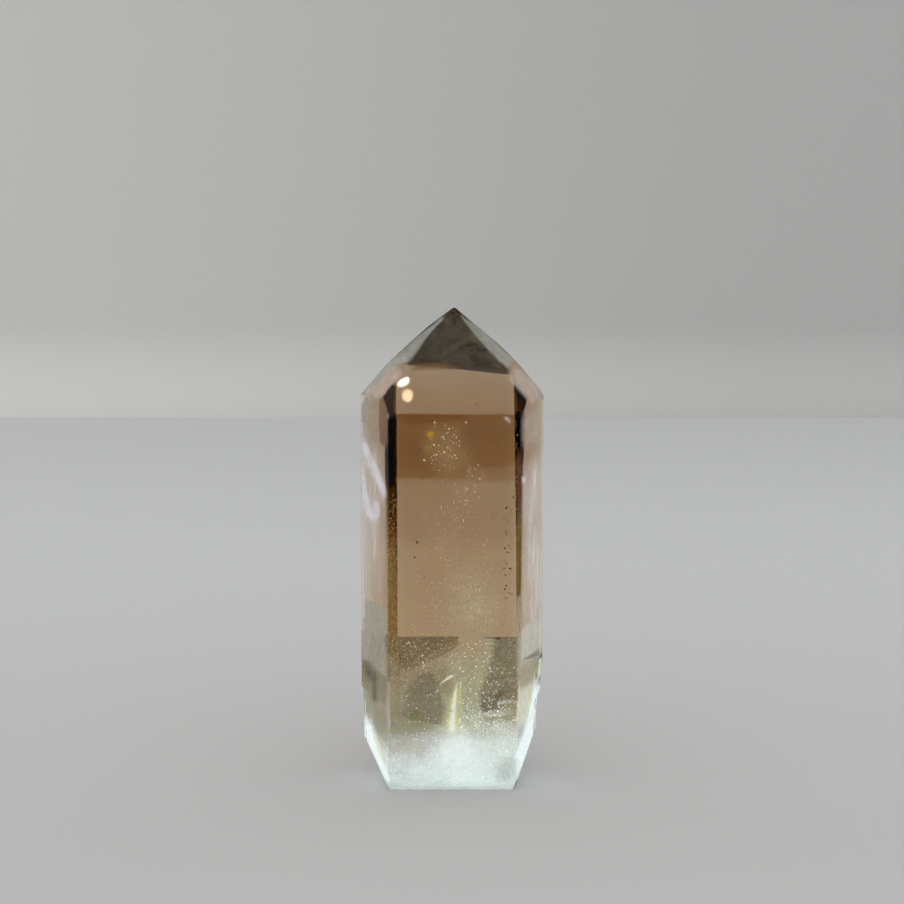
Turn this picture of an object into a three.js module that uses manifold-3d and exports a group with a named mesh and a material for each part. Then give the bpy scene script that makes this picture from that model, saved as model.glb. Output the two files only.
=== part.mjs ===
// Smoky quartz point: one six-sided prism with a faceted tip, ground flat at the root.
// Low on its back two old breaks step inwards under the back face.
// Millimetres, +Z up. The origin is on the flat root, in the middle of the crystal's width and depth,
// and the widest face of the prism looks towards -Y.
import * as THREE from 'three';
import { mergeVertices } from 'three/addons/utils/BufferGeometryUtils.js';
import Module from 'manifold-3d';

const wasm = await Module();
wasm.setup();

const tipHeight = 60;          // flat root to the top of the tip
const middleHeight = 30;       // where the reach of a prism face is measured
const shoulderHeight = 49;     // where the reach of a face of the point is measured
const ankleHeight = 7.4;       // where the reach of a face at the foot is measured
const breakHeight = 17.4;      // bottom edge of the back face, where both breaks start
const blockSize = 200;         // edge of the block that a cut takes away

// Every facet is a plane, given by three numbers:
//   azimuth  the way it looks, in degrees from +X towards +Y
//   rise     how far it leans back to look up, in degrees; below 0 it looks down
//   reach    how far out it stands from the crystal's axis, at the height of its group

// The six faces of the prism. Those on the right taper a little, one down and one up.
const prismFaces = [
  { azimuth: 270, rise: 0, reach: 6.87 },
  { azimuth: 333, rise: -0.6, reach: 10.62 },
  { azimuth: 22, rise: 0.8, reach: 9.98 },
  { azimuth: 90, rise: 0, reach: 6.87 },
  { azimuth: 149.5, rise: 0, reach: 9.5 },
  { azimuth: 210, rise: 0.2, reach: 10.27 },
];

// The faces of the point. The front and back ones run up to the tip in one plane,
// and the four at the sides have a lower and an upper part.
const pointFaces = [
  { azimuth: 269, rise: 32, reach: 6.26 },
  { azimuth: 334, rise: 45, reach: 11.64 },
  { azimuth: 340, rise: 41, reach: 11.35 },
  { azimuth: 27, rise: 41.5, reach: 10.61 },
  { azimuth: 22, rise: 36, reach: 10.3 },
  { azimuth: 88, rise: 32, reach: 7.34 },
  { azimuth: 152, rise: 42.5, reach: 10.76 },
  { azimuth: 157, rise: 36.5, reach: 10.34 },
  { azimuth: 213, rise: 46, reach: 11.13 },
  { azimuth: 205, rise: 40, reach: 10.84 },
];

// Flatter faces round the last millimetres of the tip.
const tipFaces = [
  { azimuth: 212, rise: 49.5, reach: -0.46 },
  { azimuth: 354, rise: 50.5, reach: 0.13 },
  { azimuth: 28, rise: 45, reach: 0.43 },
  { azimuth: 150, rise: 48, reach: 0.12 },
];

// The sides draw in towards the root.
const footFaces = [
  { azimuth: 182, rise: -30, reach: 12.36 },
  { azimuth: 2, rise: -6, reach: 10.47 },
  { azimuth: 355, rise: -20, reach: 10.86 },
];

// A break is the wedge under a sloping roof and outside a steep wall.
const breakRoof = { azimuth: 90, rise: -54, reach: 6.87 };
const breakWalls = [
  { azimuth: 122, rise: -3, reach: 4.8 },
  { azimuth: 38, rise: -3, reach: 6.8 },
];

function toSolid(geometry) {
  const bare = geometry.clone();
  bare.deleteAttribute('normal');
  bare.deleteAttribute('uv');
  const merged = mergeVertices(bare);
  return new wasm.Manifold(new wasm.Mesh({
    numProp: 3,
    vertProperties: new Float32Array(merged.attributes.position.array),
    triVerts: new Uint32Array(merged.index.array),
  }));
}

// The block of material that lies outside a facet.
function outsideOf(facet, height) {
  const azimuth = THREE.MathUtils.degToRad(facet.azimuth);
  const rise = THREE.MathUtils.degToRad(facet.rise);
  const outwards = new THREE.Vector3(Math.cos(azimuth), Math.sin(azimuth), 0);
  const normal = outwards.clone().multiplyScalar(Math.cos(rise));
  normal.z = Math.sin(rise);
  const onFacet = outwards.multiplyScalar(facet.reach);
  onFacet.z = height;
  const block = new THREE.BoxGeometry(blockSize, blockSize, blockSize);
  block.translate(0, 0, blockSize / 2);
  block.applyQuaternion(new THREE.Quaternion().setFromUnitVectors(new THREE.Vector3(0, 0, 1), normal));
  block.translate(onFacet.x, onFacet.y, onFacet.z);
  return toSolid(block);
}

function cutFacets(solid, facets, height) {
  return facets.reduce((rest, facet) => rest.subtract(outsideOf(facet, height)), solid);
}

function cutBreak(solid, wall) {
  const wedge = outsideOf(breakRoof, breakHeight).intersect(outsideOf(wall, ankleHeight));
  return solid.subtract(wedge);
}

function makeCrystal() {
  const rough = new THREE.BoxGeometry(tipHeight, tipHeight, tipHeight);
  rough.translate(0, 0, tipHeight / 2);
  let solid = toSolid(rough);
  solid = cutFacets(solid, prismFaces, middleHeight);
  solid = cutFacets(solid, pointFaces, shoulderHeight);
  solid = cutFacets(solid, tipFaces, tipHeight);
  solid = cutFacets(solid, footFaces, ankleHeight);
  return breakWalls.reduce(cutBreak, solid);
}

function toGeometry(solid) {
  const cut = solid.getMesh();
  const geometry = new THREE.BufferGeometry();
  geometry.setAttribute('position', new THREE.BufferAttribute(new Float32Array(cut.vertProperties), 3));
  geometry.setIndex(new THREE.BufferAttribute(new Uint32Array(cut.triVerts), 1));
  geometry.computeVertexNormals();
  return geometry;
}

// Puts the middle of the width and depth over the origin.
function centre(geometry) {
  geometry.computeBoundingBox();
  const middle = geometry.boundingBox.getCenter(new THREE.Vector3());
  geometry.translate(-middle.x, -middle.y, 0);
  return geometry;
}

const smokyQuartz = new THREE.MeshStandardMaterial({ color: '#8a6a48', roughness: 0.05, metalness: 0 });

const crystal = new THREE.Mesh(centre(toGeometry(makeCrystal())), smokyQuartz);
crystal.name = 'quartz_point';

const group = new THREE.Group();
group.add(crystal);

export default group;
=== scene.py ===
# Smoky quartz point: a clear brown crystal with a milky, sparkling foot, on a plain pale floor.
import bmesh
import bpy
import math
import random
from mathutils import Matrix, Vector, noise
from mathutils.bvhtree import BVHTree


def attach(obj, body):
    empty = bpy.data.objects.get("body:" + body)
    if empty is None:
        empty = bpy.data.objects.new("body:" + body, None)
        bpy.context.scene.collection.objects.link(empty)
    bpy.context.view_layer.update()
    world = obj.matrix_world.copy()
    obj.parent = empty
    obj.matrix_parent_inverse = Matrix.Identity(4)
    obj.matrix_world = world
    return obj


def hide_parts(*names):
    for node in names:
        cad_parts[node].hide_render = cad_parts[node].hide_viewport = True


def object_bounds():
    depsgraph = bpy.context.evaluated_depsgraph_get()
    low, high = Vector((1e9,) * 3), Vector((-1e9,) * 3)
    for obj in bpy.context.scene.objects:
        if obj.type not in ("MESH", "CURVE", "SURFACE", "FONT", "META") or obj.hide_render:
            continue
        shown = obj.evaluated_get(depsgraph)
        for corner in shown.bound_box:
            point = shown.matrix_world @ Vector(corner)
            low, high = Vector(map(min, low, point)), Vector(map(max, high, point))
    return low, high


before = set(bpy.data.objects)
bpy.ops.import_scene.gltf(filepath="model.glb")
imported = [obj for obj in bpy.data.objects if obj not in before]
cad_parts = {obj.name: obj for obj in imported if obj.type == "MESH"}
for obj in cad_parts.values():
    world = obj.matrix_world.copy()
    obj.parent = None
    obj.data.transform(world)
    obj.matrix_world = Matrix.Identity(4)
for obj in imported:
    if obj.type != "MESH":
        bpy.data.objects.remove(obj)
cadLow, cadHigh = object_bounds()
mm = 0.001
weld = 0.001 * mm                           # corners closer than this become one
touch = 0.01 * mm                           # what is closer to a plane than this lies on it
inFront = -40 * mm                          # nearer to the camera than any of the crystal


# helpers that every piece shares

def newPiece(name, bm, material, smooth=False):
    mesh = bpy.data.meshes.new(name)
    bm.to_mesh(mesh)
    bm.free()
    mesh.materials.append(material)
    for polygon in mesh.polygons:
        polygon.use_smooth = smooth
    piece = bpy.data.objects.new(name, mesh)
    bpy.context.scene.collection.objects.link(piece)
    return piece


def partOfCrystal(piece):
    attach(piece, "root")
    return piece


def feed(tree, value, socket):
    # the value is a plain one or another node's output
    if isinstance(value, bpy.types.NodeSocket):
        tree.links.new(value, socket)
    else:
        socket.default_value = value


def addNode(tree, kind, x, y, **inputs):
    node = tree.nodes.new(kind if "Node" in kind else "ShaderNode" + kind)
    node.location = (x, y)
    for name, value in inputs.items():
        feed(tree, value, node.inputs[name.replace("_", " ")])
    return node


def newMaterial(name, colour=(1, 1, 1), roughness=0.5):
    material = bpy.data.materials.new(name)
    material.use_nodes = True
    shader = material.node_tree.nodes["Principled BSDF"]
    shader.inputs["Base Color"].default_value = (*colour, 1)
    shader.inputs["Roughness"].default_value = roughness
    return material, material.node_tree, shader


def addNoise(tree, x, y, **values):
    coords = addNode(tree, "TexCoord", x - 200, y)
    return addNode(tree, "TexNoise", x, y, Vector=coords.outputs["Object"], **values).outputs["Fac"]


def addSplit(tree, x, y, kind="Object"):
    coords = addNode(tree, "TexCoord", x - 200, y)
    return addNode(tree, "SeparateXYZ", x, y, Vector=coords.outputs[kind]).outputs


def addMath(tree, operation, x, y, first, second):
    node = addNode(tree, "Math", x, y)
    node.operation = operation
    feed(tree, first, node.inputs[0])
    feed(tree, second, node.inputs[1])
    return node.outputs[0]


def addTint(tree, x, y, share, first, second):
    # the first colour where share is 0, the second where it is 1
    tint = addNode(tree, "Mix", x, y)
    tint.data_type = "RGBA"
    for name, value in (("Factor", share), ("A", (*first, 1)), ("B", (*second, 1))):
        feed(tree, value, tint.inputs[name])
    return tint.outputs["Result"]


def addRamp(tree, x, y, share, stops):
    ramp = addNode(tree, "ValToRGB", x, y, Fac=share)
    elements = ramp.color_ramp.elements
    for element, (position, colour) in zip(elements, (stops[0], stops[-1])):
        element.position = position
        element.color = (*colour, 1)
    for position, colour in stops[1:-1]:
        elements.new(position).color = (*colour, 1)
    return ramp.outputs["Color"]


def paint(tree, shader, colour, glow):
    # the colour shows on the surface and in its own soft glow, painted light: the piece shines though it is
    # no lamp
    for name, value in (("Base Color", colour), ("Emission Color", colour), ("Emission Strength", glow)):
        feed(tree, value, shader.inputs[name])


# camera, light and floor

studio = {
    "cameraPlace": (0.0, -314.4 * mm, 107.5 * mm),
    "cameraTilt": 78.2,                     # degrees up from looking straight down
    "lens": 102.74,
    "sensor": 36,
    # painted light: the wall is coloured lighter to the left and the floor lighter further back, as if lit
    # unevenly; where each shade is in metres: across the wall, and along the floor
    "wallPaintedLight": [(-0.13, (0.66, 0.66, 0.635)), (0.10, (0.52, 0.52, 0.515))],
    "floorPaintedLight": [(-0.05, (0.505, 0.505, 0.505)), (0.16, (0.60, 0.605, 0.61))],
    # light from all round: share of the way from straight down to straight up, and its colour
    "skyShades": [(0.45, (0.47, 0.47, 0.46)), (0.56, (0.80, 0.80, 0.80)), (1.0, (1.12, 1.12, 1.12))],
    "floorReach": 2.0,
    "wallPlace": 252 * mm,
    "wallHalfWidth": 280 * mm,
    "wallHeight": 320 * mm,
    "wallSink": 0.2 * mm,                   # how far its foot reaches below the floor
    "coveRadius": 18 * mm,
    "coveSteps": 24,
    "lampReach": 600 * mm,
    # x and z of the lamp's glint in mm, width, height, roll in degrees, colour, power in watts
    "lamps": [
        (-5.85, 51.50, 5.4 * mm, 2.2 * mm, 38, (1.0, 0.94, 0.76), 0.0085),
        (-5.40, 50.05, 4.0 * mm, 4.8 * mm, 0, (1.0, 0.74, 0.45), 0.0056),
    ],
    "bounces": {"max_bounces": 64, "transmission_bounces": 64, "glossy_bounces": 32,
                "transparent_max_bounces": 64},
}


def makeCamera():
    data = bpy.data.cameras.new("camera")
    data.lens = studio["lens"]
    data.sensor_width = studio["sensor"]
    camera = bpy.data.objects.new("camera", data)
    camera.location = studio["cameraPlace"]
    camera.rotation_euler = (math.radians(studio["cameraTilt"]), 0, 0)
    bpy.context.scene.collection.objects.link(camera)
    bpy.context.scene.camera = camera


def paintedLightMaterial(name, axis, shades):
    # painted light: the base colour runs from one shade to the other along an axis
    material, tree, shader = newMaterial(name, roughness=0.9)
    (low, first), (high, second) = shades
    place = addSplit(tree, -700, 0)[axis]
    span = addNode(tree, "MapRange", -500, 0, Value=place, From_Min=low, From_Max=high)
    span.interpolation_type = "SMOOTHSTEP"
    feed(tree, addTint(tree, -300, 0, span.outputs[0], first, second), shader.inputs["Base Color"])
    return material


def makeFloor():
    bm = bmesh.new()
    bmesh.ops.create_grid(bm, x_segments=1, y_segments=1, size=studio["floorReach"])
    newPiece("floor", bm, paintedLightMaterial("paleFloor", "Y", studio["floorPaintedLight"]))
    # the backdrop curves up out of the floor and stands behind the crystal
    bm = bmesh.new()
    half, radius, sink = studio["wallHalfWidth"], studio["coveRadius"], studio["wallSink"]
    foot = studio["wallPlace"] - radius
    low = [bm.verts.new((x, foot, -sink)) for x in (-half, half)]
    edge = bm.edges.new(low)
    bmesh.ops.spin(bm, geom=[*low, edge], cent=(0, foot, radius - sink), axis=(1, 0, 0),
                   angle=math.radians(90), steps=studio["coveSteps"])
    top = [e for e in bm.edges if all(v.co.z > radius - sink - touch for v in e.verts)]
    raised = bmesh.ops.extrude_edge_only(bm, edges=top)["geom"]
    lift = Vector((0, 0, studio["wallHeight"]))
    bmesh.ops.translate(bm, vec=lift, verts=[v for v in raised if isinstance(v, bmesh.types.BMVert)])
    newPiece("backdrop", bm, paintedLightMaterial("paleWall", "X", studio["wallPaintedLight"]), smooth=True)


def makeWorld():
    world = bpy.data.worlds.new("studio")
    bpy.context.scene.world = world
    world.use_nodes = True
    tree = world.node_tree
    tree.nodes.clear()
    upwards = addSplit(tree, -700, 0, "Generated")["Z"]
    height = addNode(tree, "MapRange", -550, 0, Value=upwards, From_Min=-1.0)
    sky = addRamp(tree, -400, 0, height.outputs["Result"], studio["skyShades"])
    background = addNode(tree, "Background", 0, 0, Color=sky)
    addNode(tree, "OutputWorld", 200, 0, Surface=background.outputs[0])


def makeLamps():
    # each lamp stands where the front facet of the point mirrors it to the camera
    eye = Vector(studio["cameraPlace"])
    for number, (x, z, width, height, roll, colour, power) in enumerate(studio["lamps"], 1):
        data = bpy.data.lights.new(f"lamp_{number}", "AREA")
        data.shape = "ELLIPSE"
        data.size, data.size_y = width, height
        data.color, data.energy = colour, power
        glint, facing = onSkin(x * mm, z * mm)
        outwards = (glint - eye).normalized().reflect(facing)
        lamp = bpy.data.objects.new(f"lamp_{number}", data)
        lamp.location = glint + outwards * studio["lampReach"]
        aim = (-outwards).to_track_quat("-Z", "Y").to_matrix()
        lamp.rotation_euler = (aim @ Matrix.Rotation(math.radians(roll), 3, "Z")).to_euler()
        bpy.context.scene.collection.objects.link(lamp)


def setLight():
    scene = bpy.context.scene
    scene.view_settings.view_transform = "Standard"
    for name, count in studio["bounces"].items():
        setattr(scene.cycles, name, count)


print("camera, floor and light")
makeCamera()
makeFloor()
makeWorld()
setLight()


# the crystal's own shape, which everything sealed in it is cut to

def crystalMesh():
    bm = bmesh.new()
    bm.from_mesh(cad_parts["quartz_point"].data)
    bmesh.ops.remove_doubles(bm, verts=bm.verts, dist=weld)
    bmesh.ops.dissolve_limit(bm, angle_limit=math.radians(0.2), verts=bm.verts, edges=bm.edges,
                             use_dissolve_boundaries=False)
    bm.normal_update()
    return bm


def cutAway(bm, place, outwards):
    # everything on the outer side of a plane goes, and the cut is closed
    geometry = bm.verts[:] + bm.edges[:] + bm.faces[:]
    cut = bmesh.ops.bisect_plane(bm, geom=geometry, dist=0.1 * weld, plane_co=place, plane_no=outwards,
                                 clear_outer=True)
    rim = [e for e in cut["geom_cut"] if isinstance(e, bmesh.types.BMEdge)]
    if rim:
        bmesh.ops.holes_fill(bm, edges=rim)


def facetPlanes(top):
    # the planes that wall in the crystal's foot, up to this height
    bm = crystalMesh()
    cutAway(bm, (0, 0, top), (0, 0, 1))
    bm.normal_update()
    corners = [v.co.copy() for v in bm.verts]
    planes = [(f.verts[0].co.copy(), f.normal.copy()) for f in bm.faces]
    bm.free()
    return [(co, no) for co, no in planes if all((c - co).dot(no) < touch for c in corners)]


def cutToCrystal(bm, gap, top):
    for place, outwards in facetPlanes(top):
        cutAway(bm, place - outwards * gap, outwards)


solidTree = BVHTree.FromBMesh(crystalMesh())


def isInside(point, gap):
    near, normal, _, _ = solidTree.find_nearest(point)
    return (point - near).dot(normal) < -gap


def onSkin(x, z):
    # the place at this x and z on the facet that faces the camera, and the way it faces
    place, facing, _, _ = solidTree.ray_cast(Vector((x, inFront, z)), Vector((0, 1, 0)))
    if place is None:
        place, facing, _, _ = solidTree.find_nearest(Vector((x, 0, z)))
    return place, facing


def underSkin(x, z, gap):
    place, facing = onSkin(x, z)
    return place - facing * gap


makeLamps()

# clear quartz and the smoke in it

quartz = {
    "edgeRound": 0.07 * mm,
    "footRound": 0.5 * mm,
    "sharpFrom": 12,                        # degrees between facets from which their edge is rounded
    "ior": 1.544,
    "shine": (0.12, 0.12, 0.12),
    "bodyTint": (0.75, 0.60, 0.35),         # colour that the clear part lets through
    "bodyDensity": 8.0,
    "ripple": 0.0004 * mm,                  # height of the polish marks
    "markScale": 160.0,                     # of those and of the smoke's drifts
    "drift": (0.97, 0.965, 0.955),
    # layers of smoke: lower end in mm, width as a share of the crystal's, tint and density
    "smoke": [
        (7.0, 0.995, (0.80, 0.53, 0.09), 20.0),
        (9.0, 0.95, (0.80, 0.53, 0.09), 20.0),
        (11.5, 0.90, (0.80, 0.53, 0.09), 20.0),
        (14.0, 0.84, (0.79, 0.53, 0.30), 20.0),
        (17.0, 0.78, (0.79, 0.53, 0.30), 20.0),
        (24.0, 0.985, (0.25, 0.15, 0.00), 4.0),
        (31.0, 0.91, (0.25, 0.05, 0.00), 9.0),
        (39.0, 0.86, (0.25, 0.10, 0.15), 9.0),
    ],
    "skin": 0.05 * mm,                      # each layer stands this much further inside than the last
    # the darkest smoke lies along the back facet of the point
    "capGap": 0.025 * mm,
    "capDepth": 1.1 * mm,
    "capTint": (0.02, 0.53, 0.53),
    "capDensity": 420.0,
    "capSlope": 19.0,                       # degrees that its lower end slopes back, and down to the right
    "capTilt": 5.5,
    "capTurn": 3.3 * mm,                    # where across the crystal it tilts about
    "capRise": 0.5 * mm,                    # how far above the facet's lowest corner it ends there
}


def glassMaterial(name, ior, tint, density, ripple=0.0):
    material, tree, shader = newMaterial(name, roughness=0.0)
    shader.inputs["IOR"].default_value = ior
    shader.inputs["Transmission Weight"].default_value = 1.0
    shader.inputs["Specular Tint"].default_value = (*quartz["shine"], 1)
    volume = addNode(tree, "VolumeAbsorption", 0, -300, Color=(*tint, 1), Density=density)
    feed(tree, volume.outputs[0], tree.nodes["Material Output"].inputs["Volume"])
    marks = addNoise(tree, -700, 0, Scale=quartz["markScale"], Detail=2.0)
    if ripple:
        bump = addNode(tree, "Bump", -300, -200, Strength=1.0, Distance=ripple, Height=marks)
        feed(tree, bump.outputs[0], shader.inputs["Normal"])
    else:
        # smoke drifts a little lighter and darker
        drift = addTint(tree, -300, 100, marks, (1, 1, 1), quartz["drift"])
        feed(tree, drift, shader.inputs["Base Color"])
    return material


def roundEdges(bm, edges, radius, segments):
    bmesh.ops.bevel(bm, geom=edges, offset=radius, offset_type="OFFSET", affect="EDGES",
                    segments=segments, profile=0.5, material=-1, clamp_overlap=True)


def makeCrystal():
    bm = crystalMesh()
    foot = [edge for edge in bm.edges if all(vert.co.z < touch for vert in edge.verts)]
    roundEdges(bm, foot, quartz["footRound"], segments=4)
    sharp = [edge for edge in bm.edges if edge.calc_face_angle(0) > math.radians(quartz["sharpFrom"])]
    roundEdges(bm, sharp, quartz["edgeRound"], segments=2)
    clear = glassMaterial("clearQuartz", quartz["ior"], quartz["bodyTint"], quartz["bodyDensity"],
                          quartz["ripple"])
    crystal = partOfCrystal(newPiece("crystal", bm, clear))
    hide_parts("quartz_point")


def innerCrystal(width, gap):
    # the crystal's shape again, smaller by a gap all round and narrower by a share
    bm = crystalMesh()
    bmesh.ops.scale(bm, vec=(width, 1, 1), verts=bm.verts)
    bm.normal_update()
    shifts = [(v, -v.normal * v.calc_shell_factor() * gap) for v in bm.verts]
    for vert, shift in shifts:
        vert.co += shift
    bm.normal_update()
    return bm


def makeSmoke():
    for number, (height, width, tint, density) in enumerate(quartz["smoke"], 1):
        bm = innerCrystal(width, quartz["skin"] * number)
        cutAway(bm, (0, 0, height * mm), (0, 0, -1))
        partOfCrystal(newPiece(f"smoke_{number}", bm, glassMaterial(f"smoke_{number}", 1.0, tint, density)))


def makeCap():
    bm = innerCrystal(1.0, quartz["capGap"])
    # the largest of the point's facets that lean back
    leaning = [f for f in bm.faces if f.normal.z > 0.3]
    back = max(leaning, key=lambda f: f.normal.y * f.calc_area())
    outwards = back.normal.copy()
    shoulder = min((v.co.copy() for v in back.verts), key=lambda co: co.z)
    cutAway(bm, shoulder - outwards * quartz["capDepth"], -outwards)
    slope, tilt = math.radians(quartz["capSlope"]), math.radians(quartz["capTilt"])
    middle = Vector((quartz["capTurn"], shoulder.y, shoulder.z + quartz["capRise"]))
    cutAway(bm, middle, (-math.sin(tilt), -math.sin(slope), -math.cos(slope)))
    cap = glassMaterial("darkSmoke", 1.0, quartz["capTint"], quartz["capDensity"])
    partOfCrystal(newPiece("darkSmoke", bm, cap))


# darker brown just under the front face, and painted shade along its left and right edges: slabs whose
# thickness sets how dark each place is

frontSlab = {
    "gap": 0.30 * mm,
    "brown": ((0.77, 0.57, 0.27), 7100.0),  # tint and density
    "shade": ((0.45, 0.36, 0.02), 9000.0),
    "thickness": 0.20 * mm,                 # where the amount is 1
    "least": 0.001 * mm,
    "columns": 6,                           # to each mm
    "rows": 4,
    "fewestColumns": 12,
}


def rise(value, low, high):
    # 0 below low, 1 above high, and a soft step between
    share = min(1.0, max(0.0, (value - low) / (high - low)))
    return share * share * (3 - 2 * share)


def brownWindow(x, z):
    # how much the slab darkens at x and z, in mm, behind the upper part of the front facet
    shade = noise.noise(Vector((x * 0.5, z * 0.5, 3)))
    if x < 1.7:
        amount = rise(z, 39.6, 40.2) + 0.10 * shade
        amount += 0.18 * rise(z, 41.1, 41.8) * rise(-z, -46.6, -41.9) * rise(-x, 3.4, 3.9)
    else:
        # the right half starts lower and gets darker above an arc
        arc = 41.3 + 0.05 * (x - 4.5) ** 2
        amount = 0.45 * rise(z, 39.3, 40.0) + 0.52 * rise(z, arc - 0.3, arc + 0.3) + 0.10 * shade
    # a darker fold under the point, and a faint tail below
    fold = 46.75 + 0.35 * rise(x, -3.0, 0.5) + 0.5 * rise(x, 0.2, 1.8)
    amount += 0.42 * rise(z, fold - 0.2, fold + 0.2) * rise(-x, -2.2, -1.6)
    amount += 0.16 * rise(z, 29.0, 39.8) * rise(-z, -40.2, -39.6) * (1 - 0.7 * rise(x, -3.0, 2.5))
    return amount


def leftShade(x, z):
    step = 0.10 * rise(z, 38, 40)
    edge = rise(x, -8.02, -7.9) * rise(-x, 6.78 + step, 6.92 + step)
    depth = 4.0 * rise(z, 38.3, 39.8) + 1.15 * rise(z, 28.5, 38.0) + 0.16 * rise(z, 17.0, 30.0)
    return edge * (depth + 0.12 * noise.noise(Vector((x * 6, z * 6, 1))))


def rightShade(x, z):
    edge = rise(x, 7.66, 7.78) * rise(-x, -8.78, -8.66)
    return edge * (2.6 * rise(z, 41.5, 43.5) + 0.12 * rise(z, 35.0, 43.0))


def makeFrontSlab(name, low, high, amount, finish):
    # low and high are the slab's corners in mm
    tint, density = finish
    bm = bmesh.new()
    wide, tall = high[0] - low[0], high[1] - low[1]
    columns = max(frontSlab["fewestColumns"], round(wide * frontSlab["columns"]))
    bmesh.ops.create_grid(bm, x_segments=columns, y_segments=round(tall * frontSlab["rows"]), size=0.5)
    turn = Matrix.Rotation(math.radians(90), 4, "X")
    centre = Vector(((low[0] + high[0]) / 2, 0, (low[1] + high[1]) / 2))
    place = Matrix.Translation(centre * mm) @ turn @ Matrix.Diagonal((wide * mm, tall * mm, 1, 1))
    bmesh.ops.transform(bm, matrix=place, verts=bm.verts)
    made = bmesh.ops.extrude_face_region(bm, geom=bm.faces[:], use_keep_orig=True)["geom"]
    behind = {v for v in made if isinstance(v, bmesh.types.BMVert)}
    for vert in bm.verts:
        x, z = vert.co.x, vert.co.z
        depth = frontSlab["gap"]
        if vert in behind:
            depth += max(frontSlab["least"], frontSlab["thickness"] * amount(x / mm, z / mm))
        vert.co.y = underSkin(x, z, 0).y + depth
    bmesh.ops.recalc_face_normals(bm, faces=bm.faces)
    partOfCrystal(newPiece(name, bm, glassMaterial(name, 1.0, tint, density)))


print("crystal and smoke")
makeCrystal()
makeSmoke()
makeCap()
print("stains")
makeFrontSlab("brownDarkening", (-6.95, 28.0), (7.68, 47.85), brownWindow, frontSlab["brown"])
# painted shade: dark bands down the left and right edges of the front face
makeFrontSlab("leftShade", (-8.05, 17.0), (-6.7, 47.8), leftShade, frontSlab["shade"])
makeFrontSlab("rightShade", (7.6, 34.0), (8.6, 48.0), rightShade, frontSlab["shade"])


# wisps, veils and streaks, and painted shade and reflections: thin leaves that follow a route under the
# facets

def softEdgeGroup():
    group = bpy.data.node_groups.new("softEdges", "ShaderNodeTree")
    sockets = group.interface
    for name, kind in (("Place", "NodeSocketVector"), ("Leaf", "NodeSocketVector"),
                       ("Across", "NodeSocketFloat"), ("Along", "NodeSocketFloat"),
                       ("Grain Size", "NodeSocketFloat"), ("Grain", "NodeSocketFloat"),
                       ("Strength", "NodeSocketFloat")):
        sockets.new_socket(name, in_out="INPUT", socket_type=kind)
    sockets.new_socket("Mask", in_out="OUTPUT", socket_type="NodeSocketFloat")
    sockets.new_socket("Grain", in_out="OUTPUT", socket_type="NodeSocketFloat")
    given = addNode(group, "NodeGroupInput", -1200, 0).outputs
    split = addNode(group, "SeparateXYZ", -1000, 200, Vector=given["Leaf"]).outputs
    fades = []
    for row, (axis, width) in enumerate((("X", "Across"), ("Y", "Along"))):
        fromEdge = addMath(group, "PINGPONG", -800, 200 - 200 * row, split[axis], 0.5)
        fade = addNode(group, "MapRange", -600, 200 - 200 * row, Value=fromEdge, From_Max=given[width])
        fade.interpolation_type = "SMOOTHSTEP"
        fades.append(fade.outputs[0])
    grains = addNode(group, "TexNoise", -800, -300, Vector=given["Place"], Scale=given["Grain Size"],
                     Detail=4.0, Roughness=0.7)
    contrast = addNode(group, "MapRange", -600, -300, Value=grains.outputs["Fac"],
                       From_Min=0.36, From_Max=0.64)
    grained = addNode(group, "Mix", -400, -200, Factor=given["Grain"], A=1.0, B=contrast.outputs[0])
    shown = fades[0]
    for column, other in enumerate((fades[1], grained.outputs["Result"], given["Strength"])):
        shown = addMath(group, "MULTIPLY", -200 + 200 * column, 0, shown, other)
    # what a leaf leaves clear is squared, so its middle covers well and its edge still fades
    clear = addMath(group, "SUBTRACT", 400, 0, 1.0, shown)
    squared = addMath(group, "MULTIPLY", 600, 0, clear, clear)
    addNode(group, "NodeGroupOutput", 1000, 0, Mask=addMath(group, "SUBTRACT", 800, 0, 1.0, squared),
            Grain=contrast.outputs[0])
    return group


softEdges = softEdgeGroup()


def softenLeaf(tree, shader, strength, across, along, size, grain, lengthwise=1.0):
    # fades the leaf out towards its edges, and puts out its grain
    coords = addNode(tree, "TexCoord", -1100, 0).outputs
    place = addNode(tree, "Mapping", -900, 100, Vector=coords["Object"], Scale=(1, 1, lengthwise))
    soft = addNode(tree, "Group", -600, 0)
    soft.node_tree = softEdges
    values = {"Place": place.outputs[0], "Leaf": coords["UV"], "Strength": strength, "Across": across,
              "Along": along, "Grain Size": size, "Grain": grain}
    for name, value in values.items():
        feed(tree, value, soft.inputs[name])
    # a leaf shows from outside only, so it can't be seen through the crystal from behind
    behind = addNode(tree, "NewGeometry", -500, -400).outputs["Backfacing"]
    shown = addNode(tree, "Mix", -200, -300, Factor=behind, A=soft.outputs["Mask"], B=0.0)
    feed(tree, shown.outputs["Result"], shader.inputs["Alpha"])
    return soft.outputs["Grain"]


def leafMaterial(name, first, second, glow, softness):
    material, tree, shader = newMaterial(name, first, 0.9)
    grain = softenLeaf(tree, shader, *softness)
    paint(tree, shader, addTint(tree, -300, 200, grain, second, first), glow)
    shader.inputs["Specular IOR Level"].default_value = 0.0
    return material


def rainbowMaterial(name, glow, strength, stops):
    # colours run from one side of the leaf to the other
    material, tree, shader = newMaterial(name, (0.9, 0.9, 0.9), 0.6)
    softenLeaf(tree, shader, strength, across=0.45, along=0.3, size=2600, grain=0.35)
    across = addSplit(tree, -800, 300, "UV")["X"]
    paint(tree, shader, addRamp(tree, -500, 300, across, stops), glow)
    return material


leafCut = {
    "thickness": 0.02 * mm,
    "drop": 0.17,                           # it stands lower by this share of its depth under the skin
    "columns": 6,
    "rows": 6,                              # for each point of its route
    "stride": 0.01,                         # share of the route that its direction is taken over
}


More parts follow.
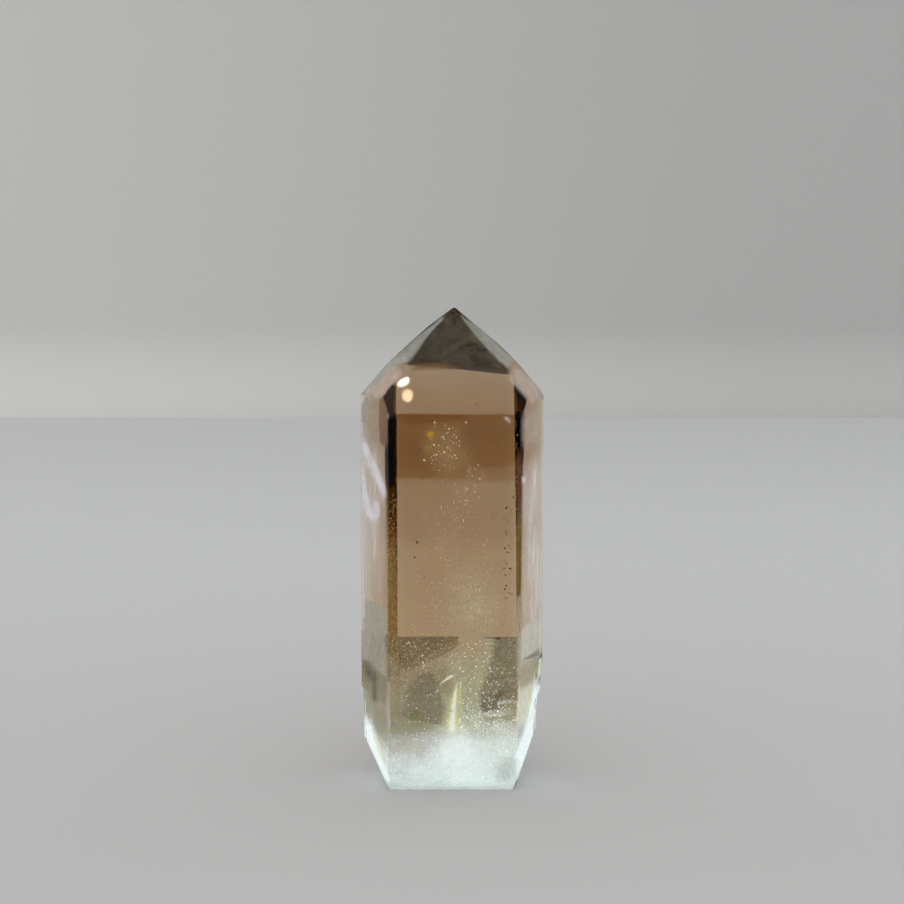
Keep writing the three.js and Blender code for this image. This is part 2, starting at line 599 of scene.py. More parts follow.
def routeAt(route, share):
    # a smooth curve through the route's points, each one an x, a z and a width
    last = len(route) - 1
    step = min(int(share * last), last - 1)
    t = share * last - step
    a, b, c, d = (Vector(route[min(last, max(0, step + i))]) for i in (-1, 0, 1, 2))
    return ((2 * b) + (c - a) * t + (2 * a - 5 * b + 4 * c - d) * t * t
            + (3 * b - a - 3 * c + d) * t * t * t) * 0.5


def addLeaf(bm, route, gap):
    made = bmesh.ops.create_grid(bm, x_segments=leafCut["columns"], y_segments=leafCut["rows"] * len(route),
                                 size=1, calc_uvs=True)["verts"]
    stride = leafCut["stride"]
    for vert in made:
        across, share = vert.co.x / 2, (vert.co.y + 1) / 2
        x, z, width = routeAt(route, share)
        run = routeAt(route, min(1, share + stride)) - routeAt(route, max(0, share - stride))
        run.z = 0
        run.normalize()
        x, z = x - run.y * across * width, z + run.x * across * width - leafCut["drop"] * gap
        vert.co = underSkin(x * mm, z * mm, gap * mm)
    faces = list({face for vert in made for face in vert.link_faces})
    extruded = bmesh.ops.extrude_face_region(bm, geom=faces, use_keep_orig=True)["geom"]
    back = [v for v in extruded if isinstance(v, bmesh.types.BMVert)]
    rim = {face for vert in back for face in vert.link_faces}
    for vert in back:
        vert.co -= solidTree.find_nearest(vert.co)[1] * leafCut["thickness"]
    # the back and the rim take the place on the leaf where nothing shows
    for loop in [loop for face in rim for loop in face.loops]:
        loop[bm.loops.layers.uv.active].uv = (0, 0)
    slab = [*faces, *rim]
    bmesh.ops.recalc_face_normals(bm, faces=slab)
    outwards = 0.0
    for face in faces:
        facing = solidTree.find_nearest(face.calc_center_median())[1]
        outwards += face.calc_area() * face.normal.dot(facing)
    if outwards < 0:
        bmesh.ops.reverse_faces(bm, faces=slab)


def makeLeaves(name, material, routes):
    bm = bmesh.new()
    bm.loops.layers.uv.new("leaf")
    for gap, *route in routes:
        addLeaf(bm, route, gap)
    partOfCrystal(newPiece(name, bm, material))


# name: first and second colour, glow (painted light), strength, soft edge across and along (0.5 is all of
# it),
# grain scale, grain share, the share of that scale along the crystal where the grain is drawn out,
# and the leaves, each with its depth under the skin and its route as x, z and width, all in mm
leaves = {
    # point and upper sides
    # painted reflection: the grey sheen on the point's two side facets and along its upper edges
    "greySheen": ((0.52, 0.53, 0.48), (0.45, 0.46, 0.41), 0.14, 0.62, 0.2, 0.12, 700, 0.25, [
        (0.15, (-0.9, 59.1, 0.5), (-3.3, 57.3, 1.6), (-5.6, 55.1, 2.7), (-6.8, 53.9, 1.8)),
        (0.21, (0.9, 59.4, 0.4), (3.4, 57.2, 1.6), (5.8, 55.2, 2.3), (7.8, 53.5, 2.2)),
        (0.12, (-5.2, 54.1, 0.6), (-6.5, 53.7, 0.8), (-7.6, 53.1, 0.8), (-8.9, 51.7, 0.7),
         (-10.4, 49.9, 0.4)),
        (0.12, (10.7, 49.9, 0.5), (11.1, 49.4, 0.7), (11.3, 48.8, 0.4)),
        (0.12, (-10.5, 49.2, 0.4), (-10.9, 47.7, 0.8), (-11.1, 45.6, 0.4)),
    ]),
    "beigeVeil": ((0.66, 0.56, 0.48), (0.58, 0.49, 0.42), 0.3, 0.45, 0.3, 0.25, 500, 0.2, [
        (0.2, (-6.2, 53.2, 2.4), (-7.6, 52.2, 2.8), (-9.2, 50.6, 2.6), (-10.4, 49.2, 2.0)),
        (0.2, (7.0, 52.8, 2.0), (8.4, 51.6, 2.2), (9.9, 50.0, 2.2), (10.6, 48.6, 1.8)),
        (0.15, (-11.2, 49.0, 1.0), (-10.8, 49.8, 1.2), (-10.2, 50.6, 1.0)),
    ]),
    "duskVeil": ((0.46, 0.37, 0.282), (0.41, 0.325, 0.25), 0.3, 0.48, 0.3, 0.35, 500, 0.2, [
        (0.27, (-9.9, 49.0, 3.6), (-9.9, 46.4, 3.8), (-9.9, 42.6, 3.4)),
    ]),
    "paleDusk": ((0.55, 0.465, 0.385), (0.5, 0.41, 0.345), 0.3, 0.46, 0.3, 0.35, 500, 0.2, [
        (0.25, (9.9, 48.6, 3.2), (9.9, 46.0, 3.4), (9.9, 43.0, 3.2)),
    ]),
    # painted shade: the dark front facet of the point, with a faint mottle
    "tipShade": ((0.185, 0.165, 0.13), (0.095, 0.088, 0.068), 0.04, 0.62, 0.03, 0.03, 420, 0.3, [
        (0.3, (0.05, 59.85, 0.4), (0.05, 57.4, 5.2), (0.15, 55.2, 9.5), (0.1, 53.2, 13.5)),
    ]),
    "edgeShade": ((0.15, 0.125, 0.098), (0.11, 0.095, 0.075), 0.0, 0.96, 0.3, 0.1, 420, 0.2, [
        (0.24, (-0.8, 53.25, 0.3), (1.6, 53.15, 0.5), (3.9, 53.0, 0.7), (7.3, 52.75, 0.9)),
    ]),
    "brownWisp": ((0.3, 0.22, 0.15), (0.22, 0.16, 0.1), 0.1, 0.3, 0.5, 0.5, 500, 0.35, [
        (0.2, (-0.6, 59.3, 1.0), (-0.5, 58.4, 1.8), (-0.6, 57.4, 1.4)),
        (0.2, (3.5, 57.0, 0.5), (1.8, 56.3, 1.1), (0.0, 55.4, 1.0), (-1.4, 54.5, 0.8), (-2.6, 53.7, 0.4)),
        (0.22, (1.6, 56.8, 1.4), (2.8, 56.7, 2.2), (4.0, 56.3, 1.4)),
        (0.25, (4.3, 54.9, 0.3), (4.8, 54.8, 0.4), (5.2, 54.6, 0.3)),
    ]),
    "brownVeil": ((0.34, 0.19, 0.085), (0.29, 0.16, 0.07), 0.06, 0.55, 0.42, 0.3, 600, 0.25, [
        (0.24, (-5.4, 53.2, 0.9), (-2.0, 53.35, 1.1), (1.4, 53.2, 0.6)),
    ]),
    "stripShade": ((0.35, 0.2, 0.096), (0.31, 0.175, 0.082), 0.1, 0.72, 0.22, 0.16, 600, 0.15, [
        (0.14, (-8.4, 49.9, 1.0), (-8.42, 47.0, 1.45), (-8.4, 43.6, 1.1)),
    ]),
    "columnVeil": ((0.4, 0.272, 0.1), (0.35, 0.24, 0.084), 0.09, 0.56, 0.12, 0.3, 1500, 0.3, [
        (0.25, (-7.35, 33.0, 1.35), (-7.35, 25.0, 1.35), (-7.35, 15.6, 1.35)),
        (0.28, (8.25, 38.0, 0.7), (8.25, 33.0, 0.85), (8.25, 28.0, 0.85), (8.25, 23.5, 0.6)),
    ]),
    "redColumn": ((0.27, 0.12, 0.055), (0.24, 0.105, 0.048), 0.09, 0.6, 0.12, 0.4, 1500, 0.3, [
        (0.25, (8.25, 44.0, 0.7), (8.25, 40.0, 0.85), (8.25, 34.0, 0.85)),
    ]),
    "neckShade": ((0.075, 0.052, 0.042), (0.06, 0.042, 0.034), 0.0, 0.9, 0.12, 0.08, 600, 0.1, [
        (0.12, (-7.1, 51.3, 0.3), (-7.5, 50.3, 1.2), (-7.7, 49.5, 1.5), (-7.45, 48.4, 0.9),
         (-7.35, 47.4, 0.7)),
    ]),
    # painted reflection: the three long leaves are pale mirrored streaks on the left side facet; the two
    # small ones are milky-white chips
    "paleSheenAndChips": ((0.8, 0.79, 0.84), (0.7, 0.68, 0.72), 0.34, 0.72, 0.42, 0.25, 500, 0.25, [
        (0.2, (-11.2, 44.2, 0.5), (-10.9, 42.9, 1.5), (-10.3, 41.5, 1.8), (-9.6, 40.3, 1.9),
         (-8.9, 39.0, 1.6), (-8.5, 37.7, 1.2), (-8.7, 36.2, 0.5)),
        (0.26, (-11.25, 40.6, 0.4), (-11.1, 38.2, 1.1), (-10.8, 36.2, 1.4), (-10.4, 34.6, 1.6),
         (-10.0, 33.2, 0.9)),
        (0.23, (-9.4, 36.8, 0.7), (-9.5, 35.2, 1.6), (-9.9, 33.8, 1.0)),
        (0.22, (8.7, 40.2, 0.5), (8.9, 39.7, 0.7), (8.8, 39.2, 0.4)),
        (0.22, (-8.1, 48.0, 0.4), (-8.0, 47.6, 0.5), (-8.1, 47.2, 0.3)),
    ]),
    # painted reflection: a pale sheen on the side faces and along their outer edges, and a small pale mark
    # near the right shoulder
    "paleSheen": ((0.84, 0.83, 0.84), (0.7, 0.68, 0.66), 0.38, 0.33, 0.5, 0.4, 900, 0.6, 0.12, [
        (0.3, (-9.6, 46.0, 3.8), (-9.6, 36.0, 4.2), (-9.6, 20.0, 4.2)),
        (0.3, (10.1, 42.5, 3.6), (10.1, 38.0, 4.0), (10.1, 33.0, 3.6)),
        (0.34, (10.1, 43.5, 3.6), (10.1, 32.0, 4.0), (10.0, 16.0, 3.8)),
        (0.38, (10.2, 35.0, 3.2), (10.2, 27.0, 3.6), (10.1, 17.0, 3.6)),
        (0.12, (6.2, 47.6, 0.4), (6.8, 47.3, 0.9), (7.2, 46.6, 0.5)),
        (0.06, (-11.2, 46.0, 0.4), (-11.2, 30.0, 0.5), (-11.2, 13.0, 0.4)),
        (0.06, (11.2, 46.0, 0.4), (11.2, 30.0, 0.5), (11.2, 15.0, 0.4)),
    ]),
    "goldSpot": ((0.72, 0.43, 0.03), (0.6, 0.34, 0.03), 0.35, 0.5, 0.5, 0.5, 2200, 0.3, [
        (0.15, (-2.6, 46.1, 1.2), (-2.6, 45.5, 1.7), (-2.7, 44.8, 1.2)),
    ]),
    "goldHaze": ((0.5, 0.35, 0.08), (0.44, 0.3, 0.08), 0.15, 0.35, 0.5, 0.5, 1500, 0.2, [
        (0.18, (-2.8, 45.0, 2.0), (-2.9, 43.8, 2.4), (-3.0, 42.6, 1.8)),
        (0.15, (0.5, 47.0, 0.6), (0.7, 46.5, 1.0), (0.3, 45.8, 0.9)),
    ]),
    # front of the foot
    "pinkVeil": ((0.54, 0.42, 0.28), (0.47, 0.36, 0.235), 0.22, 0.74, 0.42, 0.25, 1500, 0.25, [
        (0.28, (1.9, 19.0, 0.3), (-0.2, 17.8, 0.8), (-2.4, 16.6, 1.2), (-4.2, 15.6, 1.5), (-6.0, 14.6, 1.7),
         (-7.6, 13.8, 1.2)),
    ]),
    # painted shade: the dark olive patch of the foot, where its slanted back facet reflects dark
    "oliveShade": ((0.45, 0.345, 0.19), (0.33, 0.255, 0.138), 0.14, 0.76, 0.08, 0.1, 3200, 0.3, [
        (0.35, (-6.6, 17.5, 5.1), (-4.4, 18.0, 4.2), (-1.6, 18.7, 2.8), (0.9, 19.5, 1.1)),
        (0.39, (-8.3, 18.8, 2.5), (-7.4, 18.8, 2.5), (-6.4, 18.8, 2.5)),
        (0.43, (-7.4, 20.0, 1.9), (-7.4, 17.6, 1.9), (-7.4, 13.8, 1.9)),
    ]),
    "oliveHaze": ((0.49, 0.41, 0.25), (0.42, 0.345, 0.21), 0.18, 0.62, 0.35, 0.2, 3200, 0.25, [
        (0.62, (-8.3, 14.4, 6.0), (-4.0, 14.2, 6.4), (0.4, 14.8, 5.6)),
        (0.38, (-7.5, 17.8, 1.5), (-7.4, 15.8, 1.6), (-7.3, 13.4, 1.5)),
        (0.33, (-7.2, 14.2, 1.9), (-7.1, 11.8, 2.2), (-7.0, 9.4, 1.9)),
    ]),
    # painted shade: two dark patches of the foot, where its slanted back facets reflect dark
    "footShade": ((0.43, 0.38, 0.26), (0.33, 0.29, 0.198), 0.13, 0.8, 0.24, 0.1, 3200, 0.3, [
        (0.48, (-3.2, 15.4, 1.4), (-3.2, 14.2, 3.6), (-3.5, 12.6, 5.4), (-3.6, 11.1, 6.6), (-3.5, 9.9, 6.8),
         (-3.7, 8.8, 6.0)),
        (0.45, (6.2, 20.0, 5.2), (6.2, 18.0, 5.2), (6.1, 16.0, 5.2), (5.9, 13.8, 5.0), (5.3, 12.4, 4.6),
         (4.9, 11.2, 3.4), (4.7, 10.0, 1.8)),
    ]),
    "smudge": ((0.3, 0.275, 0.19), (0.25, 0.225, 0.155), 0.08, 0.72, 0.45, 0.25, 3200, 0.4, [
        (0.26, (6.6, 13.4, 0.8), (5.0, 11.7, 2.8), (3.4, 10.3, 1.2)),
    ]),
    # painted shade: the dark wedge at the right of the foot, where a slanted back facet reflects dark
    "wedgeShade": ((0.45, 0.395, 0.27), (0.33, 0.285, 0.19), 0.13, 0.8, 0.1, 0.04, 3200, 0.35, [
        (0.4, (7.0, 19.95, 2.4), (7.1, 18.0, 2.2), (7.3, 16.2, 1.9), (7.5, 14.4, 1.7), (7.5, 12.6, 1.7),
         (7.4, 11.0, 1.3)),
    ]),
    "wedgeMist": ((0.62, 0.57, 0.4), (0.54, 0.49, 0.33), 0.26, 0.6, 0.38, 0.1, 2400, 0.3, [
        (0.37, (4.5, 20.0, 2.7), (4.2, 17.6, 2.5), (3.7, 15.6, 2.2), (3.2, 13.4, 1.4)),
        (0.24, (8.25, 25.5, 0.5), (8.25, 22.5, 0.8), (8.3, 19.7, 0.9), (8.35, 16.8, 0.9), (8.3, 13.8, 0.7)),
    ]),
    "oliveMist": ((0.52, 0.6, 0.41), (0.45, 0.52, 0.34), 0.24, 0.42, 0.25, 0.35, 2400, 0.45, [
        (0.9, (-8.4, 12.4, 13.6), (0.0, 12.4, 13.6), (8.6, 12.4, 13.6)),
    ]),
    "warmHaze": ((0.48, 0.335, 0.165), (0.42, 0.29, 0.135), 0.27, 0.4, 0.5, 0.45, 1200, 0.2, [
        (0.24, (-1.9, 47.6, 3.6), (-1.2, 45.4, 6.8), (-0.4, 43.0, 7.4), (0.6, 40.6, 7.0), (1.4, 38.6, 5.0)),
    ]),
    "lightHaze": ((0.64, 0.61, 0.43), (0.55, 0.52, 0.36), 0.34, 0.3, 0.5, 0.5, 1200, 0.3, [
        (0.6, (1.5, 31.0, 7.0), (2.6, 26.0, 10.0), (3.0, 21.0, 11.0), (2.8, 17.0, 8.0)),
    ]),
    "lowMist": ((0.5, 0.47, 0.295), (0.44, 0.41, 0.25), 0.12, 0.72, 0.45, 0.25, 2400, 0.3, [
        (0.56, (-8.4, 9.0, 6.0), (-5.2, 8.8, 5.4), (-1.8, 9.2, 3.4)),
        (0.7, (3.4, 9.6, 3.2), (5.8, 10.0, 3.8), (8.4, 10.4, 3.6)),
    ]),
    "footHaze": ((0.6, 0.58, 0.43), (0.53, 0.51, 0.37), 0.3, 0.34, 0.5, 0.45, 1500, 0.3, [
        (0.1, (-8.3, 6.2, 3.8), (-5.4, 5.9, 4.0), (-2.2, 6.4, 2.8)),
    ]),
    "lightLine": ((0.6, 0.57, 0.42), (0.52, 0.49, 0.35), 0.15, 0.45, 0.45, 0.3, 1500, 0.4, [
        (0.2, (4.0, 13.0, 0.2), (5.6, 13.8, 0.4), (7.2, 14.5, 0.4), (8.2, 14.9, 0.2)),
        (0.2, (-2.4, 14.4, 0.15), (-1.5, 12.8, 0.25), (-1.0, 10.9, 0.15)),
        (0.15, (-10.0, 22.6, 0.2), (-10.0, 16.0, 0.3), (-9.95, 10.6, 0.2)),
        (0.12, (-8.4, 52.7, 0.4), (-9.9, 51.2, 0.5), (-10.9, 49.9, 0.3)),
        (0.2, (-1.3, 10.5, 0.15), (-0.6, 10.4, 0.4), (0.4, 10.3, 0.2)),
    ]),
    "yellowGlow": ((0.82, 0.84, 0.46), (0.72, 0.74, 0.38), 0.28, 0.52, 0.5, 0.35, 2400, 0.3, [
        (0.32, (1.0, 14.6, 0.8), (0.6, 12.6, 1.8), (0.25, 10.4, 3.0), (0.1, 8.0, 4.2), (0.1, 6.6, 4.6)),
        (0.3, (1.2, 14.8, 0.3), (1.0, 13.2, 0.4), (0.95, 11.6, 0.3)),
    ]),
    "foam": ((0.76, 0.78, 0.7), (0.6, 0.6, 0.5), 0.3, 0.72, 0.4, 0.25, 2600, 0.9, [
        (0.29, (5.2, 11.2, 0.5), (6.6, 11.5, 0.7), (8.0, 11.6, 0.4)),
        (0.29, (1.2, 9.4, 0.8), (4.6, 9.9, 1.2), (8.0, 10.2, 0.8)),
        (0.29, (1.2, 8.3, 1.0), (4.6, 8.6, 1.6), (8.0, 8.6, 1.2)),
        (0.29, (-4.0, 7.5, 0.3), (-3.6, 7.4, 0.5), (-3.0, 7.5, 0.3)),
        (0.29, (-3.0, 6.8, 0.3), (-2.4, 6.9, 0.4), (-1.8, 6.7, 0.3)),
    ]),
    "whiteHeart": ((0.94, 1.0, 0.99), (0.86, 0.94, 0.93), 0.44, 0.42, 0.5, 0.45, 900, 0.25, [
        (0.085, (0.5, 9.2, 3.6), (0.7, 6.8, 7.6), (0.9, 4.2, 9.4), (0.9, 0.8, 8.8)),
    ]),
    "clearPatch": ((0.62, 0.67, 0.61), (0.46, 0.5, 0.45), 0.1, 0.36, 0.5, 0.4, 1500, 0.45, [
        (0.09, (8.2, 5.2, 1.4), (7.2, 3.6, 3.4), (6.6, 2.0, 4.4), (6.8, 0.5, 3.8)),
    ]),
    # sides of the foot
    "sideVeil": ((0.66, 0.63, 0.54), (0.6, 0.57, 0.48), 0.12, 0.74, 0.22, 0.2, 1600, 0.3, 0.7, [
        (0.24, (-9.7, 23.8, 3.6), (-9.7, 20.0, 3.6), (-9.7, 13.6, 3.6)),
        (0.27, (-10.9, 21.0, 1.2), (-10.9, 18.0, 1.4), (-10.9, 15.0, 1.2)),
        (0.06, (-11.25, 21.5, 0.5), (-11.25, 18.0, 0.6), (-11.25, 14.8, 0.5)),
    ]),
    "rightVeil": ((0.9, 0.9, 0.81), (0.82, 0.82, 0.73), 0.14, 0.76, 0.2, 0.34, 1600, 0.25, 0.7, [
        (0.18, (9.8, 21.4, 3.0), (9.8, 18.8, 3.2), (9.8, 14.4, 3.2)),
        (0.09, (11.2, 21.0, 0.6), (11.2, 18.4, 0.8), (11.2, 15.6, 0.6)),
    ]),
    "rightPale": ((0.94, 0.97, 0.84), (0.86, 0.89, 0.76), 0.22, 0.8, 0.3, 0.25, 1500, 0.25, 0.7, [
        (0.24, (9.7, 13.8, 2.9), (9.4, 11.6, 2.8), (9.2, 9.4, 2.6), (9.0, 7.4, 2.0)),
        (0.06, (11.2, 15.8, 0.5), (11.1, 14.4, 0.6), (10.95, 12.8, 0.6)),
    ]),
    "oliveSide": ((0.5, 0.475, 0.31), (0.42, 0.395, 0.25), 0.09, 0.8, 0.1, 0.02, 1500, 0.3, 0.7, [
        (0.18, (-11.25, 12.9, 5.6), (-9.9, 12.8, 4.9), (-8.15, 12.7, 3.9)),
        (0.09, (-11.25, 16.0, 0.6), (-11.25, 13.8, 0.8), (-11.2, 11.8, 0.5)),
    ]),
    "midOlive": ((0.6, 0.57, 0.4), (0.53, 0.5, 0.345), 0.1, 0.8, 0.3, 0.42, 1500, 0.3, 0.7, [
        (0.15, (-9.2, 12.4, 2.6), (-9.1, 9.6, 3.0), (-8.9, 7.4, 2.6), (-8.5, 4.6, 1.6)),
    ]),
    "rightOlive": ((0.7, 0.69, 0.48), (0.6, 0.58, 0.4), 0.1, 0.7, 0.3, 0.1, 1500, 0.35, 0.7, [
        (0.15, (8.3, 14.8, 4.2), (9.6, 14.6, 4.0), (10.6, 14.8, 3.4), (11.2, 15.4, 2.4)),
    ]),
    "sideDark": ((0.22, 0.205, 0.135), (0.18, 0.165, 0.105), 0.02, 0.45, 0.5, 0.3, 1200, 0.25, [
        (0.09, (-11.2, 15.4, 1.0), (-10.7, 14.6, 2.2), (-10.3, 13.6, 2.4), (-9.9, 12.8, 1.6)),
        (0.11, (-9.8, 15.0, 0.7), (-9.75, 12.4, 1.1), (-9.75, 9.6, 0.6)),
        (0.09, (11.15, 16.4, 2.0), (10.4, 16.5, 1.3), (9.5, 16.6, 0.7), (8.6, 16.8, 0.3)),
    ]),
    "paleOlive": ((0.62, 0.63, 0.48), (0.54, 0.55, 0.41), 0.12, 0.75, 0.45, 0.3, 1200, 0.25, [
        (0.12, (-11.0, 12.4, 0.6), (-10.8, 10.8, 1.5), (-10.6, 9.2, 1.9), (-10.8, 7.9, 1.4)),
    ]),
    "yellowEdge": ((0.92, 0.93, 0.7), (0.84, 0.85, 0.62), 0.28, 0.55, 0.5, 0.35, 900, 0.2, [
        (0.06, (-10.2, 7.6, 0.6), (-9.6, 5.8, 1.1), (-8.9, 4.2, 1.2), (-8.2, 2.6, 0.7)),
        (0.12, (8.35, 14.6, 0.4), (8.4, 12.0, 0.6), (8.3, 8.0, 0.5)),
        (0.1, (10.6, 14.8, 0.4), (10.2, 12.6, 0.6), (9.6, 10.0, 0.7), (8.9, 7.4, 0.5)),
    ]),
    # partly painted light: frosted strips on the foot's side facets, glowing brighter as if catching the
    # cloud's light
    "litFrost": ((0.84, 0.92, 0.93), (0.76, 0.84, 0.84), 0.56, 0.95, 0.26, 0.22, 900, 0.2, [
        (0.21, (-11.1, 8.0, 0.8), (-10.6, 6.2, 2.0), (-9.8, 3.9, 2.8), (-8.9, 1.8, 2.4), (-8.2, 0.5, 1.4)),
        (0.2, (10.8, 13.8, 0.7), (10.5, 10.4, 1.4), (10.0, 7.4, 2.2), (9.2, 4.4, 2.8), (8.5, 1.2, 1.8)),
    ]),
}


print("wisps and veils")
for name, (first, second, glow, *softness, routes) in leaves.items():
    makeLeaves(name, leafMaterial(name, first, second, glow, softness), routes)

# cracks with a rainbow flash, painted light that glows: glow, strength, colours from side to side, and
# routes as above
rainbows = {
    "prismStreak": (0.50, 0.66, [
        (0.0, (0.62, 0.58, 0.22)), (0.28, (0.90, 0.90, 0.50)), (0.42, (0.84, 0.84, 1.0)),
        (0.60, (0.88, 0.88, 1.0)), (0.74, (0.90, 0.90, 0.50)), (1.0, (0.62, 0.58, 0.22)),
    ], [
        (0.26, (0.7, 14.4, 0.3), (0.4, 12.6, 0.7), (0.15, 10.4, 1.1), (0.0, 8.4, 1.5), (0.0, 7.0, 1.6)),
        (0.22, (-1.8, 13.6, 0.15), (-1.0, 14.2, 0.35), (-0.3, 14.7, 0.65), (0.35, 15.0, 0.45)),
    ]),
    "greenGlint": (0.15, 0.55, [
        (0.0, (0.34, 0.30, 0.08)), (0.45, (0.36, 0.38, 0.10)), (0.7, (0.17, 0.32, 0.10)),
        (1.0, (0.26, 0.28, 0.12)),
    ], [
        (0.24, (-5.2, 9.0, 0.7), (-4.6, 9.8, 1.3), (-4.2, 10.6, 0.8)),
    ]),
}

for crack, (glow, strength, stops, routes) in rainbows.items():
    makeLeaves(crack, rainbowMaterial(crack, glow, strength, stops), routes)


# the milky cloud at the foot: soft shells, one inside the other

milk = {
    "colour": (0.86, 0.93, 0.925),
    "centre": (0.7 * mm, -0.8 * mm, 0.0),
    "reach": (10.2 * mm, 7.6 * mm, 7.5 * mm),
    # painted light: the cloud and the frosted foot glow as if lit by light gathered down the crystal
    "glow": 0.26,
    "shells": 9,
    "smallest": 0.25,                       # the innermost shell's share of the reach
    "ripple": 0.10,
    "gap": 0.12 * mm,
    "moreGap": 0.02 * mm,                   # for each shell further in
    "top": 7.4 * mm,
    "fade": (3.0 * mm, 8.0 * mm),           # heights between which it thins out
    "fineScale": 700.0,
    "broadScale": 240.0,
    # the frosted foot facet under it
    "footColour": (0.62, 0.72, 0.71),       # of its darker patches
    "footScale": 900.0,
    "footHeight": 0.45 * mm,
    "footGap": 0.06 * mm,
}


def milkMaterial():
    material, tree, shader = newMaterial("milk", milk["colour"], 1.0)
    shader.inputs["Emission Color"].default_value = (*milk["colour"], 1)
    shader.inputs["Emission Strength"].default_value = milk["glow"]
    fine = addNoise(tree, -1000, 100, Scale=milk["fineScale"], Detail=6.0, Roughness=0.75)
    broad = addNoise(tree, -1000, -200, Scale=milk["broadScale"], Detail=3.0)
    both = addMath(tree, "MULTIPLY", -780, 0, fine, broad)
    spread = addNode(tree, "MapRange", -600, 0, Value=both, From_Min=0.17, From_Max=0.42, To_Max=0.62)
    full, gone = milk["fade"]
    height = addSplit(tree, -1000, -450)["Z"]
    fade = addNode(tree, "MapRange", -780, -450, Value=height, From_Min=gone, From_Max=full)
    shown = addMath(tree, "MULTIPLY", -400, 0, spread.outputs[0], fade.outputs[0])
    feed(tree, shown, shader.inputs["Alpha"])
    return material


def frostMaterial():
    material, tree, shader = newMaterial("frostedFoot", milk["colour"], 1.0)
    mottle = addNoise(tree, -700, 0, Scale=milk["footScale"], Detail=5.0, Roughness=0.7)
    colour = addRamp(tree, -450, 0, mottle, [(0.3, milk["footColour"]), (0.7, milk["colour"])])
    paint(tree, shader, colour, milk["glow"])
    return material


def makeMilk():
    white = milkMaterial()
    for number in range(milk["shells"]):
        share = 1 - (1 - milk["smallest"]) * number / (milk["shells"] - 1)
        bm = bmesh.new()
        bmesh.ops.create_icosphere(bm, subdivisions=5, radius=1)
        for vert in bm.verts:
            ripple = 1 + milk["ripple"] * noise.fractal(vert.co * 2.5 + Vector((number, 0, 0)), 1, 2, 4)
            vert.co = Vector(milk["centre"]) + Vector(milk["reach"]) * vert.co * ripple * share
        cutToCrystal(bm, milk["gap"] + milk["moreGap"] * number, milk["top"])
        partOfCrystal(newPiece(f"milk_{number + 1}", bm, white, smooth=True))
    foot = innerCrystal(1.0, milk["footGap"])
    cutAway(foot, (0, 0, milk["footHeight"]), (0, 0, 1))
    partOfCrystal(newPiece("frostedFoot", foot, frostMaterial()))


# bright pinpoints, dust, golden flecks and dark specks: small crystals set at chance places

speckFit = {
    "clearance": 0.11 * mm,                 # how far inside the facets the scattered ones stay
    "singleDepth": 0.20 * mm,               # and how far under the skin the single ones are
    "narrow": (0.65, 1),                    # least and most share of its length that each is wide
    "flat": (0.5, 0.95),                    # and high
    "patchScale": 1500.0,
}

